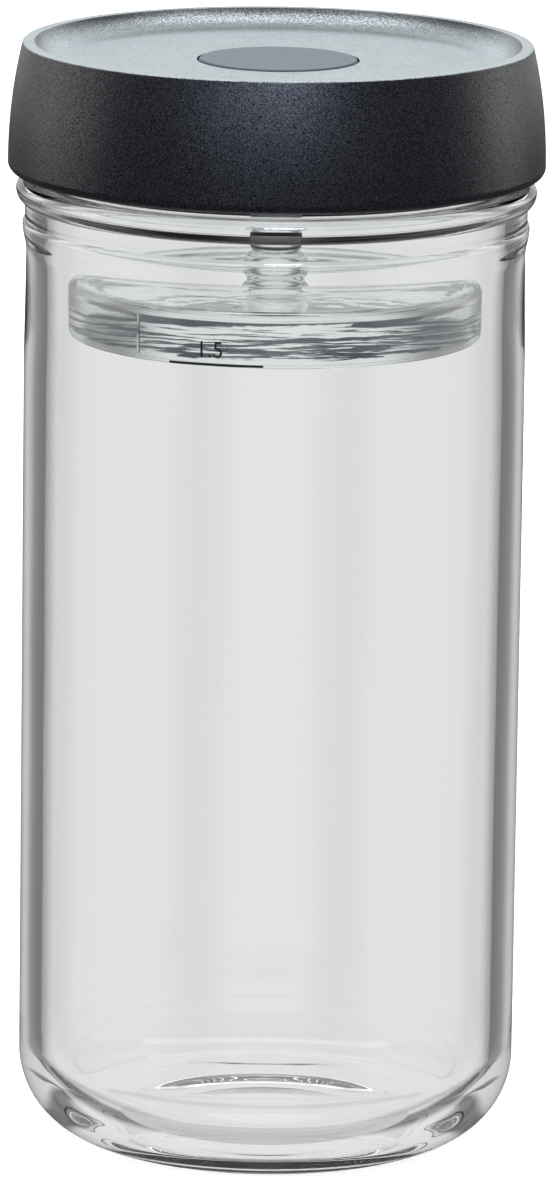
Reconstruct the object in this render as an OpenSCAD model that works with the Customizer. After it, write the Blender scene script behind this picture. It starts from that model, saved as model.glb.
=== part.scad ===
// Fermentation jar: a clear glass jar, a screw lid with a one-way vent valve, and a glass weight.
// The origin is the centre of the base, +Z points up the jar, and lengths are in millimetres.
// Every piece is turned about the Z axis, so most of them are outlines in the plane of radius and height.

/* [Jar] */
// Outer radius of the straight glass wall
jar_r = 56.5; // [52:0.5:64]
// Thickness of the glass wall
jar_wall = 5; // [4:0.25:6]
// Thickness of the glass floor
jar_floor = 8; // [6:0.5:10]
// Height of the straight body, up to the ridge
body_h = 206.5; // [180:0.5:240]
// Outer radius of the rounded foot
foot_round = 19.2; // [12:0.2:22]
// Radius of the rounded corner between floor and wall inside
inner_round = 14; // [8:0.5:18]
// Outer radius of the push-up under the base
punt_r = 33; // [20:0.5:34]
// Depth of the push-up at its middle
punt_h = 2.4; // [1:0.2:4]

/* [Neck] */
// Height of the neck, from the straight body to the glass rim
neck_h = 33.2; // [30:0.2:40]
// How much narrower the mouth is than the body, on its radius
mouth_step = 7.7; // [7:0.1:8.5]
// Thickness of the glass at the mouth
mouth_wall = 3.8; // [3:0.1:4]
// Rounding of the glass rim's two edges
rim_round = 1.2; // [0.6:0.1:1.4]
// How far the wall is drawn in under the ridge
waist_in = 0.35; // [0.1:0.05:1]
// Height over which the wall is drawn in
waist_h = 27; // [15:1:40]
// Height of the ridge's sloping lower flank
flank_h = 6; // [4:0.5:8]
// Height of the ridge's middle above the straight body
ridge_up = 3.8; // [3:0.1:4.4]
// Radius of the ridge's round section
ridge_t = 2; // [1:0.1:2.5]
// How far the ridge stands out from the wall
ridge_out = 0.5; // [0.2:0.1:1]
// Height of the bead's widest line above the straight body
bead_up = 11.9; // [11:0.1:12.2]
// Radius of the bead's section above its widest line
bead_top_t = 2.2; // [1.5:0.1:2.8]
// Radius of the bead's section below its widest line
bead_low_t = 3.4; // [2.2:0.1:4]
// How far the bead stands out from the wall
bead_out = 2; // [1:0.1:2.1]
// Rounding between the bead's top and the neck
neck_round = 0.4; // [0.2:0.1:1.2]
// Height over which the inner wall narrows to the mouth
shoulder_h = 8; // [6:0.5:10]
// Height of the narrowing's lower end above the straight body
shoulder_up = 7; // [4:0.5:9]

/* [Lid shell] */
// Room between the liner and the widest part of the cover
cover_room = 2.1; // [1:0.1:4]
// Height of the lid's side
lid_h = 29; // [26:0.1:30]
// Radius of the curve that draws the side in towards the top
barrel_r = 115; // [110:5:200]
// Height of the lower band of the side that is straight
straight_h = 2.1; // [2.1:0.1:4]
// Thickness of the side wall
shell_wall = 2.2; // [1.8:0.1:2.3]
// Thickness of the top plate
plate_t = 2.4; // [1.8:0.1:3]
// Depth of the dished top below its rim
dish_depth = 3.8; // [2:0.1:4.4]
// Width of the rim round the dished top
rim_band = 2.6; // [2:0.1:4]
// Radius of the hollow curve from the dished top up to its rim
dish_round = 7.5; // [4.5:0.5:10]
// Rounding of the outer top edge
top_round = 0.5; // [0.3:0.1:1.2]
// Rounding of the lower edge
low_round = 2.1; // [1:0.1:2.1]

/* [Lid liner] */
// Thickness of the threaded inner wall
liner_wall = 1.6; // [1.2:0.1:1.7]
// Room between the glass neck and the inner wall, for the screw thread
thread_room = 1.9; // [1.6:0.1:2]
// Thickness of the liner's top plate
liner_plate_t = 2; // [1.6:0.1:3]
// How far the liner's lower edge sits above the lid's
liner_up = 1.5; // [1:0.1:4]
// Thickness of the flange at the liner's lower edge
flange_t = 1.6; // [1:0.1:3]
// Width of the ring that carries the top plate
carrier_w = 3; // [2:0.1:5]
// How far that ring sits inside the threaded wall
carrier_in = 3; // [2:0.1:5]
// Depth of the ring that holds the seal from inside
keeper_h = 2.6; // [2.2:0.1:4]
// Width of the ring that holds the seal from inside
keeper_w = 1.2; // [0.8:0.1:1.5]
// Room between the seal and the rings beside it
seal_room = 0.2; // [0.1:0.05:0.3]
// Wall of the sleeve that guides the stem
sleeve_wall = 2.7; // [2:0.1:4]
// Length of the sleeve below the liner
sleeve_h = 6; // [3:0.5:8]
// Depth of the counterbore for the stem's flange
head_sink = 1; // [0.6:0.1:1.2]
// Rounding of the liner's lower edges
liner_edge = 0.5; // [0.2:0.1:0.5]

/* [Seal ring] */
// Thickness of the silicone ring between glass and lid
seal_t = 2; // [1.5:0.1:2.2]
// Rounding of the seal's edges
seal_round = 0.5; // [0.2:0.1:0.7]
// How far the seal reaches inside the mouth
seal_in = 1.3; // [1.2:0.05:1.4]

/* [Valve] */
// Radius of the recess for the cap in the lid's top
recess_r = 18.25; // [16:0.05:20]
// Depth of the recess
recess_depth = 2.1; // [1.9:0.1:2.6]
// Thickness of the recess floor
recess_floor_t = 1.6; // [1.2:0.1:2.4]
// Gap round the cap
cap_gap = 0.4; // [0.2:0.05:0.6]
// How far the cap stands out of the dished top
cap_proud = 0.35; // [0.1:0.05:0.8]
// Thickness of the cap's face
cap_t = 1.3; // [1:0.1:1.4]
// Rounding of the cap's edge
cap_round = 0.7; // [0.3:0.05:1]
// Width of the lip that the cap stands on
cap_lip_w = 1.6; // [1:0.1:3]
// Width of the cap's inner ring, which grips the stem's collar
grip_w = 1.5; // [1:0.1:2]
// Depth of the cap's inner ring below its face
grip_h = 1.8; // [1.4:0.1:2]
// Width of the vent slots
slot_w = 2.4; // [1.5:0.1:4]
// Number of vent slots
slot_count = 4; // [2:1:6]
// Radius of the stem under the lid
stem_r = 5.8; // [5.4:0.1:6.4]
// Length of the stem below its flange
stem_l = 38.2; // [32:0.1:42]
// Rounding of the stem's foot
foot_edge = 1.2; // [0.4:0.1:2]
// Radius of the bore up the stem
stem_bore_r = 3.4; // [3.3:0.1:3.9]
// Distance of the gas ports' middle below the sleeve
port_down = 5; // [3:0.5:8]
// Radius of the gas ports
port_r = 1.8; // [1:0.1:2.5]
// Depth of the bore below the gas ports
bore_rest = 3; // [2:0.5:5]
// Radius of the flange at the head of the stem
head_r = 9.6; // [9:0.1:10]
// Thickness of the flange at the head of the stem
head_t = 1.4; // [1:0.1:1.6]
// Wall of the collar on the flange
collar_wall = 1.4; // [1:0.1:1.8]
// Height of the collar on the flange
collar_h = 1.9; // [1.4:0.1:2]
// Depth of the valve seat's web below the flange's top
web_t = 1.6; // [1.4:0.1:2]
// Rounding of the small edges on the collar and in the cap
valve_edge = 0.45; // [0.2:0.05:0.45]
// Radius of the flap
flap_r = 6.2; // [5:0.1:6.6]
// Radius of the flap's thick middle
flap_mid_r = 3.1; // [2.5:0.1:4]
// Thickness of the flap at its middle
flap_t = 0.9; // [0.8:0.05:1.1]
// Thickness of the flap at its edge
flap_edge_t = 0.4; // [0.3:0.05:0.6]
// Radius of the flap's stalk
stalk_r = 0.95; // [0.8:0.05:1]
// Radius of the knob that keeps the stalk in the web
barb_r = 1.45; // [1.3:0.05:1.6]
// How far the flap can lift
flap_lift = 0.6; // [0.4:0.05:0.65]
// Radius of the vent holes under the flap
vent_r = 0.75; // [0.5:0.05:0.8]
// Radius of the circle that the vent holes lie on
vent_pitch_r = 2.4; // [2.2:0.05:2.5]
// Number of vent holes
vent_count = 6; // [4:1:6]

/* [Glass weight] */
// Room round the weight in the mouth
weight_room = 2.1; // [1.6:0.1:4]
// Thickness of the weight
weight_t = 12.5; // [9:0.5:16]
// Rounding of the weight's upper edge
weight_round = 2.2; // [1:0.1:3]
// Rounding of the weight's lower edge
weight_low_round = 1.6; // [0.8:0.1:3]
// Width of the weight's raised rim
weight_rim_w = 3.4; // [2:0.1:5]
// Depth of the dished face inside the rim
weight_dish = 1.2; // [0.6:0.1:2]
// Radius of the knob's head
knob_r = 7.4; // [6.5:0.1:8]
// Height of the knob above the weight's rim
knob_h = 6.4; // [5:0.1:9]
// Radius of the knob's waist
waist_r = 5.85; // [5:0.05:6.4]
// Rounding of the knob's top edge and of its waist
knob_round = 2.5; // [1.5:0.1:2.5]

/* [Fits] */
// Gap where a piece rests on one that it moves against
rest_gap = 0.1; // [0.05:0.05:0.2]
// Room round a piece that slides in a bore
run_fit = 0.08; // [0.04:0.02:0.1]

/* [Hidden] */
$fn = 96;
// Facets of the large curves and of the smallest holes
fine_fn = 720;
small_fn = 24;
// Overlap that lets a cut pass right through a face
cut = 1;
// Overlap that joins two outlines
lap = 0.3;

// Heights, from the base upwards
rim_z = body_h + neck_h;
seal_z = rim_z + rest_gap;
liner_z = seal_z + seal_t + rest_gap;
liner_top_z = liner_z + liner_plate_t;
recess_z = liner_top_z + recess_floor_t;
dish_z = recess_z + recess_depth;
top_z = dish_z + dish_depth;
lid_z = top_z - lid_h;
liner_low_z = lid_z + liner_up;
carrier_top_z = dish_z - plate_t;

// The stem hangs from its flange, which lies in a counterbore in the liner
head_z = liner_top_z - head_sink + rest_gap;
head_top_z = head_z + head_t;
collar_top_z = head_top_z + collar_h;
stem_foot_z = head_z - stem_l;
sleeve_z = liner_z - sleeve_h;
port_z = sleeve_z - port_down;
web_z = head_top_z - web_t;
flap_z = head_top_z + rest_gap;
cap_top_z = dish_z + cap_proud;
cap_face_z = cap_top_z - cap_t;

// The stem's foot holds the weight down by its knob
knob_top_z = stem_foot_z - rest_gap;
weight_top_z = knob_top_z - knob_h;
weight_z = weight_top_z - weight_t;

// Radii that follow from the fits
jar_in_r = jar_r - jar_wall;
mouth_r = jar_r - mouth_step;
neck_r = mouth_r + mouth_wall;
weight_r = mouth_r - weight_room;
liner_in_r = neck_r + thread_room;
liner_out_r = liner_in_r + liner_wall;
shell_in_r = liner_out_r + cover_room;
lid_r = shell_in_r + shell_wall;
seal_out_r = liner_in_r - seal_room;
seal_in_r = mouth_r - seal_in;
keeper_r = seal_in_r - seal_room;
sleeve_in_r = stem_r + run_fit;
sleeve_r = sleeve_in_r + sleeve_wall;
grip_in_r = head_r + rest_gap;
grip_r = grip_in_r + grip_w;
lid_hole_r = grip_r + cap_gap;
cap_r = recess_r - cap_gap;
step_r = recess_r + recess_floor_t;

// Square corner less a round one, at a corner of an outline: sx and sz point into the outline
module corner_cut(x, z, r, sx, sz) {
    difference() {
        translate([x - (sx > 0 ? cut : r), z - (sz > 0 ? cut : r)]) square(r + cut);
        translate([x + sx * r, z + sz * r]) circle(r);
    }
}

// Outline of a rectangle between two radii and two heights, with a radius for each corner
module ring_outline(r0, r1, z0, z1, low_in = 0, low_out = 0, top_out = 0, top_in = 0) {
    difference() {
        translate([r0, z0]) square([r1 - r0, z1 - z0]);
        if (low_in > 0) corner_cut(r0, z0, low_in, 1, 1);
        if (low_out > 0) corner_cut(r1, z0, low_out, -1, 1);
        if (top_out > 0) corner_cut(r1, z1, top_out, -1, -1);
        if (top_in > 0) corner_cut(r0, z1, top_in, 1, -1);
    }
}

// Outline of a ball-shaped dish of radius r and depth h, whose rim is at height z
module bowl_outline(r, h, z) {
    ball_r = (r * r + h * h) / (2 * h);
    intersection() {
        translate([0, z + h - ball_r]) circle(ball_r, $fn = fine_fn);
        translate([0, z - cut]) square([r + cut, h + 2 * cut]);
    }
}

// Points of a smooth double curve from one radius and height to another
function s_curve(r0, z0, r1, z1, steps = 16) = [
    for (i = [0 : steps]) let (t = i / steps) [r0 + (r1 - r0) * (1 - cos(180 * t)) / 2, z0 + (z1 - z0) * t]
];

// Inside of the jar: a round-cornered cylinder that narrows in a double curve to the mouth
module cavity_outline() {
    low_z = body_h + shoulder_up;
    high_z = low_z + shoulder_h;
    ring_outline(0, jar_in_r, jar_floor, low_z, low_out = inner_round);
    polygon(concat(
        [[0, low_z - cut], [jar_in_r, low_z - cut]],
        s_curve(jar_in_r, low_z, mouth_r, high_z),
        [[mouth_r, rim_z + cut], [0, rim_z + cut]]
    ));
}

// Outside of the glass from the axis: foot, wall drawn in under the ridge, bead and neck
module glass_outline() {
    ridge_r = jar_r + ridge_out;
    ridge_z = body_h + ridge_up;
    flank_z = ridge_z - flank_h;
    waist_z = flank_z - waist_h;
    glass_waist_r = jar_r - waist_in;
    bead_r = jar_r + bead_out;
    bead_z = body_h + bead_up;
    ring_outline(0, jar_r, 0, waist_z, low_out = foot_round);
    polygon(concat(
        [[0, waist_z - cut], [jar_r, waist_z - cut]],
        s_curve(jar_r, waist_z, glass_waist_r, flank_z),
        s_curve(glass_waist_r, flank_z, ridge_r, ridge_z),
        [[0, ridge_z]]
    ));
    intersection() {
        translate([ridge_r - ridge_t, ridge_z]) circle(ridge_t);
        translate([jar_in_r, ridge_z - lap]) square([ridge_r, ridge_t + cut]);
    }
    translate([0, ridge_z - lap]) square([jar_r, bead_z - ridge_z + lap]);
    // Bead, with a longer curve below its widest line than above
    intersection() {
        translate([bead_r - bead_low_t, bead_z]) circle(bead_low_t);
        translate([jar_in_r, bead_z - bead_low_t]) square([bead_r, bead_low_t]);
    }
    intersection() {
        translate([bead_r - bead_top_t, bead_z]) circle(bead_top_t);
        translate([jar_in_r, bead_z - lap]) square([bead_r, bead_top_t + cut]);
    }
    translate([0, bead_z]) square([bead_r - bead_top_t, bead_top_t]);
    difference() {
        translate([neck_r - cut, bead_z + bead_top_t - cut]) square(neck_round + cut);
        translate([neck_r + neck_round, bead_z + bead_top_t + neck_round]) circle(neck_round);
    }
    ring_outline(0, neck_r, body_h, rim_z, top_out = rim_round);
}

module jar_outline() {
    difference() {
        glass_outline();
        cavity_outline();
        // Round inner edge of the rim
        difference() {
            translate([mouth_r - cut, rim_z - rim_round]) square([cut + rim_round, rim_round + cut]);
            translate([mouth_r + rim_round, rim_z - rim_round]) circle(rim_round);
        }
        bowl_outline(punt_r, punt_h, 0);
    }
}

// Glass jar: rounded foot with a push-up, straight wall, ridge, bead and smooth neck
module jar() {
    color([0.86, 0.91, 0.92, 0.4]) rotate_extrude() jar_outline();
}

// Pressed glass weight with a raised rim and a waisted knob in its dished face
module glass_weight() {
    dish_r = weight_r - weight_rim_w;
    face_z = weight_top_z - weight_dish;
    color([0.80, 0.87, 0.89, 0.5]) rotate_extrude() {
        difference() {
            ring_outline(0, weight_r, weight_z, weight_top_z,
                low_out = weight_low_round, top_out = weight_round);
            ring_outline(0, dish_r, face_z, weight_top_z + cut, low_out = weight_dish);
        }
        difference() {
            ring_outline(0, knob_r, face_z - cut, knob_top_z, top_out = knob_round);
            translate([waist_r + knob_round, face_z + knob_round]) circle(knob_round);
            translate([waist_r + knob_round, face_z - cut]) square([knob_r, knob_round + cut]);
        }
    }
}

// Silicone ring between the glass rim and the liner
module seal_ring() {
    color([0.42, 0.44, 0.46]) rotate_extrude()
        ring_outline(seal_in_r, seal_out_r, seal_z, seal_z + seal_t,
            low_in = seal_round, low_out = seal_round, top_out = seal_round, top_in = seal_round);
}

// Inner cup of the lid: threaded wall, lower flange, top plate, seal keeper and stem sleeve
module lid_liner() {
    flange_r = shell_in_r - rest_gap;
    carrier_r = liner_in_r - carrier_in;
    color([0.10, 0.10, 0.11]) rotate_extrude() difference() {
        union() {
            translate([sleeve_in_r, liner_z]) square([liner_out_r - sleeve_in_r, liner_plate_t]);
            translate([liner_in_r, liner_low_z]) square([liner_wall, liner_z - liner_low_z + cut]);
            ring_outline(liner_in_r, flange_r, liner_low_z, liner_low_z + flange_t, low_in = liner_edge);
            translate([carrier_r - carrier_w, liner_z + cut])
                square([carrier_w, carrier_top_z - liner_z - cut]);
            ring_outline(keeper_r - keeper_w, keeper_r, liner_z - keeper_h, liner_z + cut,
                low_in = liner_edge, low_out = liner_edge);
            ring_outline(sleeve_in_r, sleeve_r, sleeve_z, liner_z + cut, low_out = liner_edge);
        }
        translate([0, liner_top_z - head_sink]) square([head_r + run_fit, head_sink + cut]);
    }
}

// Side of the lid between its axis and the barrel curve, set in by an amount
module barrel_outline(inset, z0, z1) {
    curve_z = lid_z + straight_h;
    intersection() {
        translate([0, z0]) square([lid_r - inset, z1 - z0]);
        union() {
            translate([lid_r - barrel_r, curve_z]) circle(barrel_r - inset, $fn = fine_fn);
            translate([0, lid_z - cut]) square([lid_r - inset, straight_h + cut]);
        }
    }
}

// Radius of the side's barrel curve, set in by an amount, at a height above the straight band
function barrel_at(inset, rise) = lid_r - barrel_r + sqrt(pow(barrel_r - inset, 2) - pow(rise, 2));

// Outer cover of the lid: barrel side, dished top with a raised rim, and a stepped recess for the cap
module lid_shell() {
    rise = top_z - lid_z - straight_h;
    top_r = barrel_at(0, rise);
    dish_r = top_r - rim_band;
    dish_flat_r = dish_r - sqrt(dish_depth * (2 * dish_round - dish_depth));
    // Centre of the top edge's rounding, which touches the barrel curve from inside
    edge_r = barrel_at(top_round, rise - top_round);
    edge_z = top_z - top_round;
    lean = asin((rise - top_round) / (barrel_r - top_round));
    color([0.16, 0.16, 0.18]) rotate_extrude() difference() {
        barrel_outline(0, lid_z, top_z);
        corner_cut(lid_r, lid_z, low_round, -1, 1);
        difference() {
            translate([edge_r, edge_z + top_round * sin(lean)]) square(top_round + cut);
            translate([edge_r, edge_z]) circle(top_round);
        }
        // Dished top, with the hollow curve that leads up to the rim
        translate([0, dish_z]) square([dish_flat_r, dish_depth + cut]);
        intersection() {
            translate([dish_flat_r, dish_z + dish_round]) circle(dish_round, $fn = fine_fn);
            translate([dish_flat_r - lap, dish_z]) square([dish_r, dish_depth + cut]);
        }
        // Recess and hole for the valve
        ring_outline(0, recess_r, recess_z, dish_z + cut, low_out = cap_round);
        translate([0, liner_top_z - cut]) square([lid_hole_r, recess_floor_t + 2 * cut]);
        // Hollow underside round the stepped floor of the recess
        difference() {
            barrel_outline(shell_wall, lid_z - cut, carrier_top_z);
            translate([0, liner_top_z]) square([step_r, recess_z - liner_top_z + cut]);
        }
    }
}

// Radial slots, evenly spaced, between two radii and two heights
module vent_slots(r0, r1, z0, z1) {
    for (i = [0 : slot_count - 1])
        rotate([0, 0, i * 360 / slot_count])
            translate([r0, -slot_w / 2, z0]) cube([r1 - r0, slot_w, z1 - z0]);
}

// Hollow stem that hangs under the lid: foot, gas ports, bore, valve seat, flange and collar
module press_stem() {
    bore_z = port_z - port_r - bore_rest;
    color([0.13, 0.13, 0.14]) difference() {
        rotate_extrude() {
            ring_outline(0, stem_r, stem_foot_z, head_z + lap, low_out = foot_edge);
            translate([0, head_z]) square([head_r, head_t]);
            ring_outline(head_r - collar_wall, head_r, head_top_z - lap, collar_top_z, top_out = valve_edge);
        }
        translate([0, 0, bore_z]) cylinder(r = stem_bore_r, h = web_z - bore_z);
        translate([0, 0, web_z - cut]) cylinder(r = stalk_r + run_fit, h = web_t + 2 * cut);
        for (i = [0 : vent_count - 1])
            rotate([0, 0, i * 360 / vent_count])
                translate([vent_pitch_r, 0, web_z - cut])
                    cylinder(r = vent_r, h = web_t + 2 * cut, $fn = small_fn);
        for (turn = [0, 90])
            rotate([0, 0, turn]) translate([-stem_r - cut, 0, port_z])
                rotate([0, 90, 0]) cylinder(r = port_r, h = 2 * (stem_r + cut));
        vent_slots(head_r - collar_wall - cut, head_r + cut, head_top_z, collar_top_z + cut);
    }
}

// Umbrella flap that lifts off the vent holes when gas presses from below
module valve_flap() {
    barb_top_z = web_z - flap_lift - rest_gap;
    color([0.50, 0.52, 0.54]) rotate_extrude() {
        difference() {
            ring_outline(0, flap_r, flap_z, flap_z + flap_t, top_out = flap_edge_t);
            polygon([
                [flap_mid_r, flap_z + flap_t],
                [flap_r + cut, flap_z + flap_t],
                [flap_r + cut, flap_z + flap_edge_t]
            ]);
        }
        translate([0, barb_top_z - barb_r]) square([stalk_r, flap_z - barb_top_z + barb_r + flap_edge_t]);
        intersection() {
            translate([0, barb_top_z]) circle(barb_r);
            translate([0, barb_top_z - barb_r]) square([barb_r, barb_r]);
        }
    }
}

// Silicone disc in the lid's top: round-edged face, outer lip and inner ring with vent slots
module valve_cap() {
    lip_z = recess_z + rest_gap;
    color([0.45, 0.48, 0.51]) difference() {
        rotate_extrude() {
            ring_outline(0, cap_r, cap_face_z, cap_top_z, top_out = cap_round);
            ring_outline(cap_r - cap_lip_w, cap_r, lip_z, cap_face_z + lap, low_out = cap_round);
            ring_outline(grip_in_r, grip_r, cap_face_z - grip_h, cap_face_z + lap, low_out = valve_edge);
        }
        vent_slots(grip_in_r - cut, cap_r + cut, lip_z - cut, cap_face_z);
        vent_slots(grip_in_r - cut, grip_r + cut, cap_face_z - grip_h - cut, cap_face_z);
    }
}

jar();
glass_weight();
seal_ring();
lid_liner();
lid_shell();
press_stem();
valve_flap();
valve_cap();
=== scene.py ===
"""Fermentation jar: glass jar, weight and vented screw lid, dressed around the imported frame.

Lengths are in millimetres in the pieces' classes and in metres in the studio's, and angles are in
degrees.
"""

import logging
import math
from dataclasses import dataclass
from enum import Enum

import bmesh
import bpy
from mathutils import Matrix, Vector


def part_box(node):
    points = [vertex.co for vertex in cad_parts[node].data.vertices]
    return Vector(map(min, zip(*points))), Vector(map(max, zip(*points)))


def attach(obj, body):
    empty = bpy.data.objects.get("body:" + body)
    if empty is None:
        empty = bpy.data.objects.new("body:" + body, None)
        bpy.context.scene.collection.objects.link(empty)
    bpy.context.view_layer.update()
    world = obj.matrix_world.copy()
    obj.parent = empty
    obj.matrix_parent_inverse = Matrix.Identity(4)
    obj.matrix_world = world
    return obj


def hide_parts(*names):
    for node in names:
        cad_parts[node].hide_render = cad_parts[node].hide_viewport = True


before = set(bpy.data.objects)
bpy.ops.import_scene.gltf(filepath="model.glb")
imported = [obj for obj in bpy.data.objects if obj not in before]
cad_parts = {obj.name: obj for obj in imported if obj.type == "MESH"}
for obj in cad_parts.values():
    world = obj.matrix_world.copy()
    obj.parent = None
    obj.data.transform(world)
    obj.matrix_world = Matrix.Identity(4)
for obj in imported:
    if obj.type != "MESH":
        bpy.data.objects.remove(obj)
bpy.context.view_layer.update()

LOG = logging.getLogger("fermentation_jar")

MM = 0.001
"""One millimetre in metres."""

MERGE_TURNED, MERGE_DRAWN, MERGE_TEXT = 0.004 * MM, 0.001 * MM, 0.0005 * MM
"""How close the doubles lie in a turned solid, in a drawn section and in converted text."""

GLASS_IOR, PLASTIC_IOR, SILICONE_IOR = 1.5, 1.49, 1.41
SRGB_KNEE, SRGB_SLOPE, SRGB_LIFT, SRGB_POWER = 0.04045, 12.92, 0.055, 2.4
NOISE_ROUGHNESS = 0.5

Point = tuple[float, float]
"""A point of an outline: radius and height, in millimetres."""


class Side(Enum):
    """Which way a screw thread's rib stands from its wall."""

    OUTWARDS = 1
    INWARDS = -1


def linear(hex_colour: str) -> tuple[float, float, float, float]:
    """Turn an sRGB hex colour into Blender's linear values.

    Args:
        hex_colour: six hex digits.

    Returns:
        Red, green and blue in linear light, and an alpha of 1.
    """
    parts = []
    for at in (0, 2, 4):
        share = int(hex_colour[at:at + 2], 16) / 255
        if share <= SRGB_KNEE:
            parts.append(share / SRGB_SLOPE)
        else:
            parts.append(((share + SRGB_LIFT) / (1 + SRGB_LIFT)) ** SRGB_POWER)
    return (*parts, 1.0)


def feed(tree: bpy.types.NodeTree, value, target: bpy.types.NodeSocket) -> None:
    """Link an input to a socket, or give it a plain value.

    Args:
        tree: the node tree that holds both.
        value: the socket that feeds the input, or the value it is set to.
        target: the input.
    """
    if isinstance(value, bpy.types.NodeSocket):
        tree.links.new(value, target)
    else:
        target.default_value = value


def add_node(tree: bpy.types.NodeTree, kind: str, settings: dict | None = None) -> bpy.types.Node:
    """Add one shader node.

    Args:
        tree: the material's or world's node tree.
        kind: the node's type name.
        settings: names of inputs, each with a value or a socket that feeds it, and names of
            attributes with their values.

    Returns:
        The new node.
    """
    node = tree.nodes.new(kind)
    for name, value in (settings or {}).items():
        if name in node.inputs:
            feed(tree, value, node.inputs[name])
        else:
            setattr(node, name, value)
    return node


def math_node(tree: bpy.types.NodeTree, operation: str, *values, clamp: bool = False):
    """Add a Math node.

    Args:
        tree: the node tree to add to.
        operation: the node's operation.
        *values: its operands in order, each a number or a socket.
        clamp: True to hold the result between 0 and 1.

    Returns:
        The socket with the result.
    """
    node = add_node(tree, "ShaderNodeMath", {"operation": operation, "use_clamp": clamp})
    for value, target in zip(values, node.inputs):
        feed(tree, value, target)
    return node.outputs["Value"]


def map_range(tree: bpy.types.NodeTree, value, source: tuple, target: tuple = (0.0, 1.0)):
    """Stretch a value from one range to another, and hold it at both ends.

    Args:
        tree: the node tree to add to.
        value: the socket to stretch.
        source: start and end of the range it comes from.
        target: start and end of the range it goes to.

    Returns:
        The socket with the stretched value.
    """
    node = add_node(tree, "ShaderNodeMapRange", {
        "Value": value, "From Min": source[0], "From Max": source[1],
        "To Min": target[0], "To Max": target[1],
    })
    return node.outputs["Result"]


def mix_colours(tree: bpy.types.NodeTree, share, low, high):
    """Blend two colours, which the Mix node has at its inputs 6 and 7.

    Args:
        tree: the node tree to add to.
        share: the socket with the share of the second colour.
        low: the first colour, a value or a socket.
        high: the second colour.

    Returns:
        The socket with the blend.
    """
    node = add_node(tree, "ShaderNodeMix", {"data_type": "RGBA", "Factor": share})
    feed(tree, low, node.inputs[6])
    feed(tree, high, node.inputs[7])
    return node.outputs[2]


def mix_shaders(tree: bpy.types.NodeTree, share, low, high):
    """Blend two shaders.

    Args:
        tree: the node tree to add to.
        share: the socket with the share of the second shader.
        low: the first shader's socket.
        high: the second shader's socket.

    Returns:
        The blend's shader socket.
    """
    node = add_node(tree, "ShaderNodeMixShader")
    for value, target in zip((share, low, high), node.inputs):
        feed(tree, value, target)
    return node.outputs["Shader"]


def principled(tree: bpy.types.NodeTree, settings: dict):
    """Add a Principled shader with its settings, and return its shader socket."""
    return add_node(tree, "ShaderNodeBsdfPrincipled", settings).outputs["BSDF"]


def emission(tree: bpy.types.NodeTree, colour, strength):
    """Add an Emission shader with its colour and strength, and return its shader socket."""
    node = add_node(tree, "ShaderNodeEmission", {"Color": colour, "Strength": strength})
    return node.outputs["Emission"]


def place_parts(tree: bpy.types.NodeTree) -> bpy.types.Node:
    """Add the node that splits the Object coordinates into X, Y and Z, and return it."""
    place = add_node(tree, "ShaderNodeTexCoord")
    return add_node(tree, "ShaderNodeSeparateXYZ", {"Vector": place.outputs["Object"]})


def noise_height(tree: bpy.types.NodeTree, grain_mm: float, detail: float,
                 squeeze: tuple = (1, 1, 1)):
    """Noise on Object coordinates whose lumps are about one grain across.

    Args:
        tree: the node tree to add to.
        grain_mm: width of a lump in millimetres.
        detail: octaves of finer noise.
        squeeze: how much the pattern is squeezed along X, Y and Z.

    Returns:
        The noise's height socket.
    """
    place = add_node(tree, "ShaderNodeTexCoord")
    scale = 1 / (grain_mm * MM)
    scaled = add_node(tree, "ShaderNodeMapping", {
        "Scale": [scale * share for share in squeeze], "Vector": place.outputs["Object"],
    })
    noise = add_node(tree, "ShaderNodeTexNoise", {
        "Scale": 1.0, "Detail": detail, "Roughness": NOISE_ROUGHNESS,
        "Vector": scaled.outputs["Vector"],
    })
    return noise.outputs["Fac"]


def bump_from(tree: bpy.types.NodeTree, height, depth_mm: float, under=None):
    """Bump of a real depth from a height socket.

    Args:
        tree: the node tree to add to.
        height: socket with a height from 0 to 1.
        depth_mm: height of the bump in millimetres.
        under: normal socket of a coarser bump below this one.

    Returns:
        The bump's normal socket.
    """
    settings = {"Strength": 1.0, "Distance": depth_mm * MM, "Height": height}
    if under is not None:
        settings["Normal"] = under
    return add_node(tree, "ShaderNodeBump", settings).outputs["Normal"]


@dataclass(frozen=True)
class Finish:
    """A procedural finish, named for the real material; each kind shades its own surface."""

    name: str

    def surface(self, tree: bpy.types.NodeTree) -> bpy.types.NodeSocket:
        """Build the finish's nodes and return the shader that the surface shows."""
        raise NotImplementedError

    def material(self) -> bpy.types.Material:
        """Make the material, with the finish's nodes in place of the default ones."""
        material = bpy.data.materials.new(self.name)
        material.use_nodes = True
        tree = material.node_tree
        tree.nodes.clear()
        add_node(tree, "ShaderNodeOutputMaterial", {"Surface": self.surface(tree)})
        return material


@dataclass(frozen=True)
class ClearGlass(Finish):
    """Soda-lime glass, fire-polished: clear, with the slow waves that a mould and a flame leave."""

    colour: str = "FDFEFE"
    wave_mm: float = 26.0
    wave_depth_mm: float = 0.05
    wave_squeeze: tuple = (1, 1, 0.45)
    ripple_mm: float = 6.0
    ripple_depth_mm: float = 0.0

    def surface(self, tree: bpy.types.NodeTree) -> bpy.types.NodeSocket:
        """Shade the glass, clear all through, with its waves as bump."""
        wave = noise_height(tree, self.wave_mm, detail=1.0, squeeze=self.wave_squeeze)
        normal = bump_from(tree, wave, self.wave_depth_mm)
        if self.ripple_depth_mm:
            ripple = noise_height(tree, self.ripple_mm, detail=2.0)
            normal = bump_from(tree, ripple, self.ripple_depth_mm, normal)
        return principled(tree, {
            "Base Color": linear(self.colour), "Roughness": 0.0, "IOR": GLASS_IOR,
            "Transmission Weight": 1.0, "Normal": normal,
        })


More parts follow.
